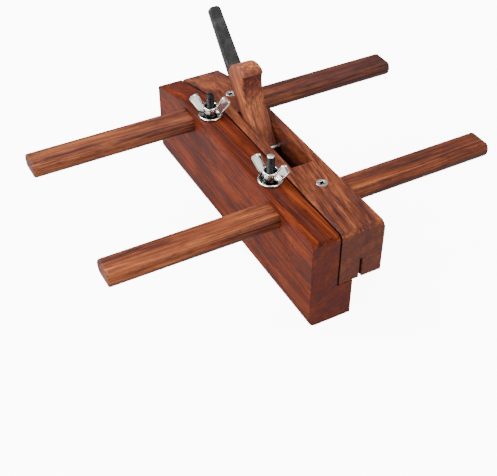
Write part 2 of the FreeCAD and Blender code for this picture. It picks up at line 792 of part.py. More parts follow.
def make_clamp_dog(side):
    """Steel dog on the stud's lower end; its raised toe pulls up against the arm's underside."""
    body = new_body(f"{side}_clamp_dog")
    place_by(body, y=CLAMP_LINE)
    profile = new_sketch(body, "profile", "XZ_Plane")
    stud, near_end, far_end = clamp_span(side)
    plate_top = f"({DOG_TOP} - Sizes.dog_toe)"
    arm_edge = "(Sizes.arm_width / 2 - Sizes.dog_toe_set)"
    bevel = "Sizes.dog_bevel"
    if side == "rear":
        toe = f"(Sizes.rear_arm_station + {arm_edge})"
        outline(profile, [
            (near_end, f"{DOG_BOTTOM} + {bevel}"), (f"{near_end} + {bevel}", DOG_BOTTOM),
            (far_end, DOG_BOTTOM), (far_end, plate_top), (toe, plate_top), (toe, DOG_TOP),
            (near_end, DOG_TOP),
        ])
    else:
        toe = f"(Sizes.front_arm_station - {arm_edge})"
        outline(profile, [
            (near_end, DOG_BOTTOM), (f"{far_end} - {bevel}", DOG_BOTTOM),
            (far_end, f"{DOG_BOTTOM} + {bevel}"), (far_end, DOG_TOP), (toe, DOG_TOP),
            (toe, plate_top), (near_end, plate_top),
        ])
    pad(body, profile, "Sizes.dog_width")
    bore = new_sketch(body, "bore", "XY_Plane", DOG_TOP)
    circle(bore, stud, "0", "Sizes.stud_diameter + Sizes.pin_fit")
    pocket(body, bore, "2 * Sizes.dog_plate", symmetric=False)
    return body


def make_washer(side):
    """Dished washer: a raised rim round the recess in which the wing nut sits."""
    body = new_body(f"{side}_washer")
    place_by(body, f"Sizes.{side}_stud_station", CLAMP_LINE, "Sizes.body_top + Sizes.washer_lift")
    ring = new_sketch(body, "ring", "XZ_Plane")
    bore, rim = "(Sizes.stud_diameter / 2 + Sizes.washer_play)", "(Sizes.washer_diameter / 2)"
    crest = f"({rim} - Sizes.washer_ease)"
    inner = f"({crest} - Sizes.washer_land)"
    outline(ring, [
        (bore, "0"),
        (rim, "0"),
        (rim, "Sizes.washer_rim - Sizes.washer_ease"),
        (crest, "Sizes.washer_rim"),
        (inner, "Sizes.washer_rim"),
        (f"{inner} - Sizes.washer_slope", "Sizes.washer_dish"),
        (bore, "Sizes.washer_dish"),
    ])
    revolve(body, ring)
    return body


def make_wing_nut(side):
    """A hollow boss with a collar and two upswept wings, drawn with its seat at local Z = 0."""
    body = new_body(f"{side}_wing_nut")
    place(body, axis=(0, 0, 1), angle=number(f"Sizes.{side}_nut_turn"))
    place_by(
        body, f"Sizes.{side}_stud_station", CLAMP_LINE,
        "Sizes.body_top + Sizes.washer_dish + Sizes.nut_seat",
    )
    boss = new_sketch(body, "boss", "XZ_Plane")
    foot, waist = "(Sizes.nut_base_diameter / 2)", "(Sizes.nut_waist_diameter / 2)"
    collar, mouth = "(Sizes.nut_collar_diameter / 2)", "(Sizes.nut_mouth_diameter / 2)"
    bore, top = "(Sizes.nut_bore / 2)", "Sizes.nut_height"
    shelf = f"{top} - Sizes.nut_collar_drop"
    outline(boss, [
        (bore, "0"),
        (foot, "0"),
        (foot, "Sizes.nut_foot"),
        (waist, "Sizes.nut_foot + Sizes.nut_cove"),
        (waist, f"{shelf} - Sizes.nut_foot"),
        (collar, shelf),
        (collar, f"{top} - Sizes.nut_ease"),
        (f"{collar} - Sizes.nut_ease", top),
        (mouth, top),
        (bore, f"{top} - Sizes.nut_mouth_depth"),
    ])
    revolve(body, boss)
    root = f"({waist} - Sizes.wing_bite)"
    for name, sign in (("right", ""), ("left", "-")):
        wing = new_sketch(body, f"{name}_wing", "XZ_Plane")
        corners = [
            (f"(Sizes.wing_span / 2 - {short})", f"Sizes.wing_height - {below}")
            for short, below in WING_EDGE
        ]
        corners.append((root, f"{top} - Sizes.nut_foot"))
        corners.insert(0, (root, "Sizes.wing_start"))
        outline(wing, [(f"{sign}{across}", up) for across, up in corners])
        pad(body, wing, "Sizes.wing_thick")
    return body


# Corners of a wing, short of its tip and below its top: the underside, the blunt end, the top.
WING_EDGE = [(8.4, 15.9), (0.7, 5.8), (0.0, 4.5), (0.7, 3.3), (5.0, 0.2), (6.4, 0.0), (7.3, 1.1)]


# ---------------------------------------------------------------- build, check and write
def main():
    nodes = [
        make_plane_body(),
        make_fence(),
        make_arm("rear", "0"),
        make_arm("front", "Sizes.front_arm_shift"),
        make_cutting_iron(),
        make_wedge(),
        make_throat_pin(),
        make_skate("rear"),
        make_skate("front"),
        make_skate_pins(),
    ]
    for side in ("rear", "front"):
        nodes.append(make_arm_screw(side))
        nodes.append(make_clamp_stud(side))
        nodes.append(make_clamp_dog(side))
        nodes.append(make_washer(side))
        nodes.append(make_wing_nut(side))
    doc.recompute()

    for item in doc.Objects:
        if "Invalid" in item.State or "Error" in item.State:
            raise RuntimeError(f"{item.Name} is {item.State}")
    for node in nodes:
        if node.Shape.isNull() or not node.Shape.isValid() or not node.Shape.Solids:
            raise RuntimeError(f"{node.Label} has no valid solid")

    os.makedirs("parts", exist_ok=True)
    for node in nodes:
        node.Shape.exportStep(f"parts/{node.Label}.step")
        box = node.Shape.BoundBox
        print(
            f"{node.Label:18s} solids {len(node.Shape.Solids)} volume {node.Shape.Volume:10.1f} "
            f"x {box.XMin:7.1f} {box.XMax:7.1f} y {box.YMin:7.1f} {box.YMax:7.1f} "
            f"z {box.ZMin:6.1f} {box.ZMax:6.1f}"
        )


main()
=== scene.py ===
import math

import bmesh
import bpy
from mathutils import Matrix, Vector


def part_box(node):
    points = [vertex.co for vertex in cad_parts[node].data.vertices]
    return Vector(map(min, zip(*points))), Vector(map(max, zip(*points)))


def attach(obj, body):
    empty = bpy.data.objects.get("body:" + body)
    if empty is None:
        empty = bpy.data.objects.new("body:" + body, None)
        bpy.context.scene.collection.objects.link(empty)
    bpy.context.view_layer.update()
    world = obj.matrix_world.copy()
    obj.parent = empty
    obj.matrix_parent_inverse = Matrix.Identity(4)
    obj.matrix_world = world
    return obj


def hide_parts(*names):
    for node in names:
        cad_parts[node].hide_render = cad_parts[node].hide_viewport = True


# A wooden plough plane: rosewood stock, sliding fence and arms, a wedged iron, plated wing nuts.
# Everything is in metres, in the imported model's frame: +X is the cutting direction, +Z is up and
# +Y points away from the fence.

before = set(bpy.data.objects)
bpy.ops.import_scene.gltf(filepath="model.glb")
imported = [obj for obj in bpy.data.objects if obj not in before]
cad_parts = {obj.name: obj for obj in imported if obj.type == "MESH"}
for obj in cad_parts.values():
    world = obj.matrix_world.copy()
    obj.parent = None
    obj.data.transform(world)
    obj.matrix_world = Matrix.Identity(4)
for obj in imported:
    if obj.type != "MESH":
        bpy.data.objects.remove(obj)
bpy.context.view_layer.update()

MM = 0.001
BED_ANGLE = math.radians(46.0)
BED_LINE = Vector((-math.cos(BED_ANGLE), 0.0, math.sin(BED_ANGLE)))
SIDES = ("rear", "front")


# ---------------------------------------------------------------- shader graphs
class Graph:
    """Shorthand for building one material's node tree."""

    def __init__(self, name):
        self.material = bpy.data.materials.new(name)
        self.material.use_nodes = True
        self.tree = self.material.node_tree
        self.shader = self.tree.nodes["Principled BSDF"]

    def feed(self, socket, value):
        """Link another node's output to a socket, or set the socket's own value."""
        if isinstance(value, bpy.types.NodeSocket):
            self.tree.links.new(value, socket)
        else:
            socket.default_value = value

    def add(self, kind, inputs=None, **settings):
        """Add a shader node, with its settings and what goes into its sockets."""
        node = self.tree.nodes.new("ShaderNode" + kind)
        for key, value in settings.items():
            setattr(node, key, value)
        for key, value in (inputs or {}).items():
            self.feed(node.inputs[key], value)
        return node

    def set(self, **inputs):
        """Feed the Principled shader's sockets; underscores stand for spaces."""
        for key, value in inputs.items():
            self.feed(self.shader.inputs[key.replace("_", " ")], value)

    def math(self, operation, first, second=0.0, clamp=False):
        node = self.add("Math", {0: first, 1: second}, operation=operation, use_clamp=clamp)
        return node.outputs[0]

    def vector(self, operation, first, second=(0.0, 0.0, 0.0)):
        node = self.add("VectorMath", {0: first, 1: second}, operation=operation)
        return node.outputs["Value" if operation in ("LENGTH", "DOT_PRODUCT") else "Vector"]

    def split(self, vector):
        """The X, Y and Z of a vector, by name."""
        return self.add("SeparateXYZ", {"Vector": vector}).outputs

    def weigh(self, *parts):
        """Sum of values, each given with its weight."""
        total = 0.0
        for value, weight in parts:
            total = self.math("ADD", total, self.math("MULTIPLY", value, weight))
        return total

    def noise(self, vector, scale=1.0, detail=2.0, roughness=0.5):
        return self.add("TexNoise", {
            "Vector": vector, "Scale": scale, "Detail": detail, "Roughness": roughness,
        })

    def bands(self, position, scale, detail, roughness):
        """Irregular bands along one number."""
        node = self.add("TexNoise", {
            "W": position, "Scale": scale, "Detail": detail, "Roughness": roughness,
        }, noise_dimensions="1D")
        return node.outputs[0]

    def spread(self, value, low, high, to_low=0.0, to_high=1.0):
        """Map a range smoothly onto another, held at its ends."""
        return self.add("MapRange", {
            "Value": value, "From Min": low, "From Max": high,
            "To Min": to_low, "To Max": to_high,
        }, interpolation_type="SMOOTHSTEP").outputs[0]

    def mix(self, factor, first, second, blend="MIX"):
        node = self.add("Mix", {0: factor, 6: first, 7: second}, data_type="RGBA", blend_type=blend)
        return node.outputs[2]

    def ramp(self, factor, stops):
        """Colour along a gradient of (position, colour) stops."""
        node = self.add("ValToRGB", {"Fac": factor})
        elements = node.color_ramp.elements
        while len(elements) < len(stops):
            elements.new(0.5)
        for element, (position, tone) in zip(elements, stops):
            element.position = position
            element.color = (*tone, 1.0)
        return node.outputs["Color"]

    def bump(self, height, distance, strength):
        inputs = {"Height": height, "Distance": distance, "Strength": strength}
        return self.add("Bump", inputs).outputs["Normal"]


def colour(red, green, blue):
    return (red, green, blue, 1.0)


# ---------------------------------------------------------------- wood
ALONG_X = (0.0, 0.0, 0.0)
ALONG_Y = (0.0, 0.0, -math.pi / 2)
ALONG_BED = (0.0, math.pi - BED_ANGLE, 0.0)

# Colours that the wood is multiplied by: painted shade inside the throat and its deeper painted
# shadow, painted shade on the face that the fence covers and under the wedge's brow, and the tint
# of end grain.
HOLLOW_SHADE = colour(0.66, 0.56, 0.50)
DEEP_SHADE = colour(0.16, 0.13, 0.12)
GAP_SHADE = colour(0.30, 0.26, 0.24)
BROW_SHADE = colour(0.50, 0.42, 0.60)
END_TINT = (1.06, 1.36, 1.95)

PORE_COLOUR = colour(0.012, 0.005, 0.004)


def bend(graph, position, flow):
    """Let the wood's lines wander slowly along their length and ripple a little across it."""
    middle = (0.5, 0.5, 0.5)
    slow = graph.noise(graph.vector("MULTIPLY", position, (5.0, 18.0, 18.0)), 1.0, 2.0, 0.5)
    quick = graph.noise(graph.vector("MULTIPLY", position, (30.0, 190.0, 190.0)), 1.0, 2.0, 0.6)
    drift = graph.vector("SUBTRACT", slow.outputs["Color"], middle)
    ripple = graph.vector("SUBTRACT", quick.outputs["Color"], middle)
    drift = graph.vector("MULTIPLY", drift, (0.0, 10.0 * MM, 10.0 * MM))
    ripple = graph.vector("MULTIPLY", ripple, (0.0, 1.8 * MM * flow, 1.8 * MM * flow))
    return graph.vector("ADD", graph.vector("ADD", position, drift), ripple)


def end_grain(graph, normal, grain):
    """How squarely a surface is cut across the grain, from 0 to 1."""
    facing = graph.add("Mapping", {"Vector": normal, "Rotation": grain}, vector_type="VECTOR")
    along = graph.split(facing.outputs["Vector"])["X"]
    return graph.spread(graph.math("ABSOLUTE", along), 0.75, 0.98)


def darken_hollow(graph, shade, place, box):
    """Painted shade inside a box, its centre and half size, deepening to a painted shadow from
    half-way down.
    """
    centre, reach = box
    apart = graph.vector("ABSOLUTE", graph.vector("SUBTRACT", place, tuple(centre)))
    sides = graph.split(graph.vector("DIVIDE", apart, tuple(reach)))
    farthest = graph.math("MAXIMUM", graph.math("MAXIMUM", sides["X"], sides["Y"]), sides["Z"])
    inside = graph.spread(farthest, 0.97, 1.0, 1.0, 0.0)
    shade = graph.mix(inside, shade, HOLLOW_SHADE, "MULTIPLY")
    level = graph.split(place)["Z"]
    deep = graph.spread(level, centre.z + 0.5 * reach.z, centre.z - 0.1 * reach.z)
    return graph.mix(graph.math("MULTIPLY", deep, inside), shade, DEEP_SHADE, "MULTIPLY")


def darken_covered(graph, shade, place, side):
    """Painted shade on the face at the lowest Y, which another piece covers, standing in for the
    shade of the gap between them.
    """
    covered = graph.math("LESS_THAN", graph.split(place)["Y"], side + 0.15 * MM)
    return graph.mix(covered, shade, GAP_SHADE, "MULTIPLY")


def darken_scoop(graph, shade, place, scoop):
    """Painted shade on the hand-cut face under the brow: its middle and half width along Y, and its
    low and high Z.
    """
    middle, half, low, high = scoop
    spot = graph.split(place)
    aside = graph.math("ABSOLUTE", graph.math("SUBTRACT", spot["Y"], middle))
    within = graph.spread(aside, half, half - 0.8 * MM)
    deep = graph.spread(spot["Z"], low, low + 0.7 * (high - low))
    under = graph.math("LESS_THAN", spot["Z"], high)
    brow_shaded = graph.math("MULTIPLY", graph.math("MULTIPLY", within, deep), under)
    return graph.mix(brow_shaded, shade, BROW_SHADE, "MULTIPLY")


def rosewood(name, grain, pith, tones, lean=0.0, veins=0.7, flow=1.0, warming=0.0,
             shift=(0.0, 0.0, 0.0), gloss=0.13, end_tint=END_TINT, marks=()):
    """Oiled rosewood: uneven growth rings round a pith line, dark veins, fibres and open pores.

    grain turns the wood's length onto the texture's X axis, and pith is where the rings' centre
    lies across it. tones are the purple, red and orange shades of the wood. lean is the angle
    between the wood's fibres and the piece's length, veins the depth of the dark lines, flow
    shortens the streaks, and warming turns the wood from purple to orange along its length.
    gloss is the strength of its reflections, and end_tint is what end grain is multiplied by.
    marks are places of painted shade, each as one of the darken functions above and its measures.
    """
    graph = Graph(name)
    coordinates = graph.add("TexCoord").outputs
    place = coordinates["Object"]
    turned = graph.add("Mapping", {"Vector": place, "Rotation": grain}).outputs["Vector"]
    leaned = graph.add("Mapping", {
        "Vector": turned, "Rotation": (0.0, lean * 0.5, lean), "Location": shift,
    }).outputs["Vector"]
    bent = bend(graph, leaned, flow)
    across = graph.vector("MULTIPLY", bent, (0.0, 1.0, 1.0))
    radius = graph.vector("LENGTH", graph.vector("SUBTRACT", across, (0.0, *pith)))

    def grained(length, width, detail, roughness):
        """Noise drawn out along the grain; length and width are in waves per metre."""
        stretched = graph.vector("MULTIPLY", bent, (length * flow, width, width))
        return graph.noise(stretched, 1.0, detail, roughness).outputs["Fac"]

    zones = graph.bands(radius, 95.0, 2.0, 0.5)
    rings = graph.bands(radius, 480.0, 2.0, 0.65)
    streak = grained(5.0, 210.0, 3.0, 0.62)
    thread = grained(7.0, 400.0, 2.0, 0.6)
    strand = grained(12.0, 800.0, 3.0, 0.6)
    fibre = grained(50.0, 1800.0, 2.0, 0.6)
    pores = grained(190.0, 2300.0, 1.0, 0.5)
    patch = graph.noise(graph.vector("MULTIPLY", leaned, (16.0, 60.0, 60.0)), 1.0, 3.0, 0.6)
    patch = patch.outputs["Fac"]

    # End grain shows the same wood cut across: duller, darker and more even.
    end = end_grain(graph, coordinates["Normal"], grain)
    plain = graph.math("SUBTRACT", 1.0, graph.math("MULTIPLY", end, 0.62))

    def level_off(value, middle):
        """Draw a value towards its middle on end grain."""
        offset = graph.math("MULTIPLY", graph.math("SUBTRACT", value, middle), plain)
        return graph.math("ADD", offset, middle)

    purple, red, orange = tones
    mixed = graph.weigh(
        (graph.spread(zones, 0.32, 0.68), 0.30),
        (graph.spread(patch, 0.30, 0.70), 0.25),
        (graph.spread(streak, 0.30, 0.70), 0.45),
        (graph.split(turned)["X"], warming),
    )
    shade = graph.ramp(level_off(mixed, 0.42), [(0.28, purple), (0.50, red), (0.72, orange)])
    gain = graph.math("MULTIPLY", graph.spread(rings, 0.32, 0.68, 0.84, 1.14),
                      graph.spread(strand, 0.30, 0.70, 0.62, 1.40))
    gain = graph.math("MULTIPLY", gain, graph.spread(fibre, 0.30, 0.70, 0.80, 1.20))
    gain = level_off(gain, 0.95)
    gains = graph.add("CombineColor", {0: gain, 1: gain, 2: gain}).outputs[0]
    shade = graph.mix(1.0, shade, gains, "MULTIPLY")

    # Veins follow the middle of a drawn-out noise, and are deepest in the darker patches.
    ridge = graph.math("ABSOLUTE", graph.math("SUBTRACT", thread, 0.5))
    vein = graph.spread(ridge, 0.0, 0.05, 1.0, 0.0)
    vein = graph.math("MULTIPLY", vein, graph.spread(patch, 0.60, 0.40, 0.15, 1.0))
    vein = graph.math("MULTIPLY", vein, graph.math("MULTIPLY", plain, veins))
    shade = graph.mix(vein, shade, colour(*[0.30 * channel for channel in purple]))
    pore = graph.spread(pores, 0.60, 0.70)
    shade = graph.mix(graph.math("MULTIPLY", pore, 0.6), shade, PORE_COLOUR)
    shade = graph.mix(graph.math("MULTIPLY", end, 0.6), shade, colour(*end_tint), "MULTIPLY")
    for mark, where in marks:
        shade = mark(graph, shade, place, where)

    roughness = graph.spread(strand, 0.25, 0.75, 0.40, 0.58)
    roughness = graph.math("ADD", roughness, graph.math("MULTIPLY", end, 0.12), clamp=True)
    relief = graph.math("SUBTRACT", graph.math("MULTIPLY", fibre, 0.5), pore)
    graph.set(
        Base_Color=shade, Roughness=roughness, IOR=1.5, Specular_IOR_Level=gloss,
        Normal=graph.bump(relief, 0.12 * MM, 0.5),
    )
    return graph.material


STOCK_TONES = ((0.074, 0.022, 0.016), (0.124, 0.031, 0.014), (0.198, 0.056, 0.022))
FENCE_TONES = ((0.066, 0.014, 0.008), (0.104, 0.015, 0.005), (0.152, 0.027, 0.007))
REAR_ARM_TONES = ((0.060, 0.021, 0.017), (0.110, 0.030, 0.018), (0.212, 0.064, 0.026))
FRONT_ARM_TONES = ((0.068, 0.020, 0.013), (0.132, 0.033, 0.015), (0.240, 0.068, 0.024))
WEDGE_TONES = ((0.166, 0.049, 0.029), (0.240, 0.070, 0.031), (0.326, 0.102, 0.040))


# ---------------------------------------------------------------- metals
# Near-black painted shade for what lies low on the screws, washers and wing nuts.
LOW_SHADE_COLOUR = colour(0.02, 0.019, 0.017)
# Bright cut metal, which on the front stud's end also stands in for a painted highlight.
CUT_METAL_HIGHLIGHT = colour(0.80, 0.79, 0.76)


def forged_iron(name, tip):
    """Dark forge scale, mottled and pitted, with a bright ground length next to the edge."""
    graph = Graph(name)
    coordinates = graph.add("TexCoord").outputs["Object"]
    along = graph.vector("DOT_PRODUCT", graph.vector("SUBTRACT", coordinates, tuple(tip)),
                         tuple(BED_LINE))
    cloud = graph.noise(coordinates, 130.0, 4.0, 0.6)
    pits = graph.noise(coordinates, 900.0, 2.0, 0.6)
    scratch = graph.noise(graph.vector("MULTIPLY", coordinates, (2600.0, 90.0, 2600.0)))
    scale = graph.ramp(cloud.outputs["Fac"], [
        (0.28, (0.010, 0.010, 0.011)), (0.50, (0.022, 0.021, 0.022)), (0.72, (0.052, 0.050, 0.049)),
    ])
    bright = graph.ramp(scratch.outputs["Fac"], [
        (0.3, (0.42, 0.42, 0.41)), (0.7, (0.66, 0.65, 0.63)),
    ])
    ragged = graph.weigh((along, 1.0), (cloud.outputs["Fac"], 6.0 * MM))
    ground = graph.spread(ragged, 14.0 * MM, 18.0 * MM, 1.0, 0.0)
    graph.set(
        Base_Color=graph.mix(ground, scale, bright),
        Metallic=graph.math("ADD", graph.math("MULTIPLY", ground, 0.35), 0.65, clamp=True),
        Roughness=graph.spread(pits.outputs["Fac"], 0.3, 0.7, 0.34, 0.58),
        Normal=graph.bump(
            graph.weigh((pits.outputs["Fac"], 1.0), (cloud.outputs["Fac"], 2.0)), 0.25 * MM, 0.6,
        ),
    )
    return graph.material


def worked_steel(name, tones, roughness, grain, low_shade=None, bright_above=None):
    """Steel with a worked surface: fine lines along grain's small number, and soft clouds.

    Painted shade darkens what lies low, in recesses and under rims, given as the height of its
    unshaded edge and how far below it the painted shade starts and is full. A cut end shows bright
    metal above bright_above, which on the front stud also stands in for a painted highlight.
    """
    graph = Graph(name)
    coordinates = graph.add("TexCoord").outputs["Object"]
    lines = graph.noise(graph.vector("MULTIPLY", coordinates, grain), 1.0, 3.0, 0.6)
    clouds = graph.noise(coordinates, 260.0, 3.0, 0.55)
    dull, clean = tones
    shade = graph.mix(0.35, lines.outputs["Fac"], clouds.outputs["Fac"])
    shade = graph.ramp(shade, [(0.32, dull), (0.62, clean)])
    height = graph.split(coordinates)["Z"]
    if low_shade is not None:
        level, start, full = low_shade
        depth = graph.math("SUBTRACT", level, height)
        shade = graph.mix(graph.spread(depth, start, full), shade, LOW_SHADE_COLOUR)
    if bright_above is not None:
        cut = graph.spread(height, bright_above, bright_above + 0.2 * MM)
        shade = graph.mix(cut, shade, CUT_METAL_HIGHLIGHT)
    graph.set(
        Base_Color=shade,
        Roughness=graph.spread(clouds.outputs["Fac"], 0.3, 0.7, roughness[0], roughness[1]),
        Normal=graph.bump(lines.outputs["Fac"], 0.03 * MM, 0.6),
    )
    graph.shader.inputs["Metallic"].default_value = 1.0
    return graph.material


# ---------------------------------------------------------------- meshes
def new_piece(name, vertices, faces, material, body, crease=35.0):
    """A mesh piece in the row frame that rides on a body."""
    mesh = bpy.data.meshes.new(name)
    mesh.from_pydata([tuple(vertex) for vertex in vertices], [], faces)
    work = bmesh.new()
    work.from_mesh(mesh)
    bmesh.ops.remove_doubles(work, verts=work.verts, dist=1e-7)
    bmesh.ops.recalc_face_normals(work, faces=work.faces)
    work.to_mesh(mesh)
    work.free()
    mesh.materials.append(material)
    mesh.shade_smooth()
    mesh.set_sharp_from_angle(angle=math.radians(crease))
    piece = bpy.data.objects.new(name, mesh)
    bpy.context.scene.collection.objects.link(piece)
    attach(piece, body)
    return piece


def stitch_rings(rings, closed=False):
    """Faces that join equal rings of points, given as ring numbers, in order."""
    count = len(rings[0])
    faces = []
    pairs = list(zip(range(len(rings)), range(1, len(rings))))
    if closed:
        pairs.append((len(rings) - 1, 0))
    for low, high in pairs:
        for step in range(count):
            following = (step + 1) % count
            faces.append((
                low * count + step, low * count + following,
                high * count + following, high * count + step,
            ))
    return faces


def lathe(profile, centre, segments=64):
    """Vertices and faces of a closed (radius, height) profile turned round an upright line."""
    rings = []
    middle_x, middle_y, foot = centre
    for step in range(segments):
        angle = 2 * math.pi * step / segments
        rings.append([
            (middle_x + radius * math.cos(angle), middle_y + radius * math.sin(angle), foot + up)
            for radius, up in profile
        ])
    vertices = [vertex for ring in rings for vertex in ring]
    return vertices, stitch_rings(rings, closed=True)


def rounded(corners, steps=6):
    """Outline of a polygon whose corners, given as (across, up, radius), are filleted with arcs."""
    points = []
    count = len(corners)
    for index, (across, up, radius) in enumerate(corners):
        here = Vector((across, up))
        before = Vector(corners[index - 1][:2]) - here
        after = Vector(corners[(index + 1) % count][:2]) - here
        if radius <= 0.0:
            points.append(here)
            continue
        half = before.angle(after) / 2
        reach = radius / math.tan(half)
        start = here + before.normalized() * reach
        end = here + after.normalized() * reach
        centre = here + (before.normalized() + after.normalized()).normalized() * (
            radius / math.sin(half))
        first, last = start - centre, end - centre
        turn = first.angle_signed(last)
        for step in range(steps + 1):
            angle = -turn * step / steps
            points.append(centre + Matrix.Rotation(angle, 2) @ first)
    return points


def smoothstep(value):
    value = min(1.0, max(0.0, value))
    return value * value * (3.0 - 2.0 * value)


def smooth(points, steps=5):
    """A curve through points, as a list that includes both ends."""
    padded = [2 * points[0] - points[1]] + points + [2 * points[-1] - points[-2]]
    curve = []
    for before, start, end, after in zip(padded, padded[1:], padded[2:], padded[3:]):
        for step in range(steps):
            along = step / steps
            curve.append(0.5 * (
                2 * start + (end - before) * along
                + (2 * before - 5 * start + 4 * end - after) * along ** 2
                + (3 * start - before - 3 * end + after) * along ** 3
            ))
    return curve + [points[-1]]


def inset(points, depth, weights=None):
    """Move an outline's edges inwards; its points slide along their mitres."""
    count = len(points)
    weights = weights or [1.0] * count
    area = sum(
        points[step - 1].x * points[step].y - points[step].x * points[step - 1].y
        for step in range(count)
    )
    side = 1.0 if area > 0 else -1.0
    moved = []
    for step, point in enumerate(points):
        arrive = (point - points[step - 1]).normalized()
        leave = (points[(step + 1) % count] - point).normalized()
        mitre = Vector((-arrive.y - leave.y, arrive.x + leave.x)).normalized()
        reach = 1.0 / max(0.5, mitre.dot(Vector((-arrive.y, arrive.x))))
        moved.append(point + mitre * depth * side * weights[step] * reach)
    return moved


def slab(points, layers, weights=None):
    """Vertices and faces of an outline in the XZ plane swept through (inset, Y) layers."""
    rings = []
    for depth, across in layers:
        moved = inset(points, depth, weights)
        rings.append([Vector((point.x, across, point.y)) for point in moved])
    vertices = [vertex for ring in rings for vertex in ring]
    faces = stitch_rings(rings)
    count = len(points)
    faces.append(tuple(range(count)))
    faces.append(tuple(range(len(vertices) - count, len(vertices))))
    return vertices, faces


def round_edge_layers(half, radius, steps=5):
    """Layers of a slab whose two face edges are rounded."""
    near_side = []
    for step in range(steps + 1):
        angle = math.pi / 2 * step / steps
        near_side.append((radius * (1 - math.sin(angle)), -half + radius * (1 - math.cos(angle))))
    return near_side + [(depth, -across) for depth, across in reversed(near_side)]


def soften(node, width, segments=3, limit=28.0):
    """Ease a CAD node's sharp edges for the render, without changing its mesh."""
    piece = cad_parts[node]
    weld = piece.modifiers.new("weld", "WELD")
    weld.merge_threshold = 1e-6
    merge = piece.modifiers.new("merge", "DECIMATE")
    merge.decimate_type = "DISSOLVE"
    merge.angle_limit = math.radians(0.4)
    ease = piece.modifiers.new("ease", "BEVEL")
    ease.width = width
    ease.segments = segments
    ease.limit_method = "ANGLE"
    ease.angle_limit = math.radians(limit)
    ease.use_clamp_overlap = False
    ease.miter_outer = "MITER_ARC"
    shade = piece.modifiers.new("shade", "WEIGHTED_NORMAL")
    shade.keep_sharp = False
    shade.weight = 80


def dress_node(node, material):
    """Give a CAD node its material in every slot."""
    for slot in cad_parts[node].material_slots:
        slot.material = material


# ---------------------------------------------------------------- wooden parts
STOCK_LOW, STOCK_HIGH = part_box("plane_body")
THROAT_HALF = Vector((60.0, 8.9, 20.0)) * MM
THROAT_CENTRE = Vector((0.0, (STOCK_LOW.y + STOCK_HIGH.y) / 2, STOCK_HIGH.z - THROAT_HALF.z))
# The stock's marks are painted shade: inside the throat, deeper lower down, and on the face that
# the fence covers.
stock_wood = rosewood(
    "stock_rosewood", ALONG_X, (0.055, -0.030), STOCK_TONES, lean=0.12, flow=1.6,
    marks=[(darken_hollow, (THROAT_CENTRE, THROAT_HALF)), (darken_covered, STOCK_LOW.y)],
)
fence_wood = rosewood(
    "fence_rosewood", ALONG_X, (0.060, -0.095), FENCE_TONES, lean=-0.04, flow=0.7, warming=0.6,
    shift=(0.31, 0.0, 0.0), gloss=0.06, end_tint=(1.22, 2.5, 5.4),
)
rear_arm_wood = rosewood(
    "rear_arm_rosewood", ALONG_Y, (0.030, 0.020), REAR_ARM_TONES, warming=-1.5,
    shift=(0.7, 0.0, 0.0),
)
front_arm_wood = rosewood(
    "front_arm_rosewood", ALONG_Y, (-0.110, 0.030), FRONT_ARM_TONES, warming=-1.2,
    shift=(1.4, 0.0, 0.0),
)

# The wedge's brow lies below its crown and behind its toe, and the scoop is below the brow.
WEDGE_LOW, WEDGE_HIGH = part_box("wedge")
BROW_DROP = 4.4 * MM
BROW_SET_BACK = 24.1 * MM
HEEL_DROP = 14.4 * MM
TOE_RISE = 9.0 * MM
SCOOP_DROP = 27.0 * MM
SCOOP_HALF = 7.9 * MM
# The scoop under the brow gets painted shade.
wedge_wood = rosewood(
    "wedge_rosewood", ALONG_BED, (0.030, 0.050), WEDGE_TONES, veins=0.4, shift=(2.1, 0.0, 0.0),
    marks=[(darken_scoop, (
        (WEDGE_LOW.y + WEDGE_HIGH.y) / 2, SCOOP_HALF,
        WEDGE_HIGH.z - SCOOP_DROP, WEDGE_HIGH.z - BROW_DROP,
    ))],
)

dress_node("plane_body", stock_wood)
dress_node("fence", fence_wood)
dress_node("rear_arm", rear_arm_wood)
dress_node("front_arm", front_arm_wood)
for node in ("plane_body", "fence"):
    soften(node, 0.2 * MM)
for node in ("rear_arm", "front_arm"):
    soften(node, 0.9 * MM, limit=20.0)


# ---------------------------------------------------------------- wedge
def make_wedge():
    """The wedge as a hand-shaped piece: a domed head with a sharp brow, and a hollow below it."""
    low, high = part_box("wedge")
    middle, half = (low.y + high.y) / 2, (high.y - low.y) / 2
    brow, crown = high.x - BROW_SET_BACK, high.z
    back_foot = min(
        vertex.co.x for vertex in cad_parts["wedge"].data.vertices
        if vertex.co.z < low.z + 0.5 * MM
    )

    def at(across, down):
        """A point given in millimetres behind the brow and below the crown."""
        return Vector((brow - across * MM, crown - down * MM))

    rise = crown - HEEL_DROP - low.z
    heel = Vector((back_foot - rise / math.tan(BED_ANGLE), low.z + rise))
    face = smooth([
        Vector((high.x, low.z + TOE_RISE)), at(-9.2, 35.6), at(-4.0, 28.6), at(-1.6, 24.0),
        at(0.0, 19.4), at(1.3, 14.4), at(1.7, 9.9), at(1.1, 6.2), at(0.0, BROW_DROP / MM),
    ], steps=3)
    dome = smooth([
        at(0.0, BROW_DROP / MM), at(0.5, 3.0), at(2.2, 1.25), at(5.5, 0.35), at(10.0, 0.05),
        at(16.0, 1.35), at(20.5, 4.0), at(23.4, 8.0), heel,
    ], steps=3)
    outline = [Vector((back_foot, low.z))] + face + dome[1:]
    weights = [0.35 + 0.65 * smoothstep((point.y - low.z) / (crown - low.z)) for point in outline]
    vertices, faces = slab(outline, round_edge_layers(half, 1.5 * MM), weights)
    vertices = [vertex + Vector((0.0, middle, 0.0)) for vertex in vertices]
    piece = new_piece("shaped_wedge", vertices, faces, wedge_wood, "wedge_body")
    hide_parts("wedge")


make_wedge()


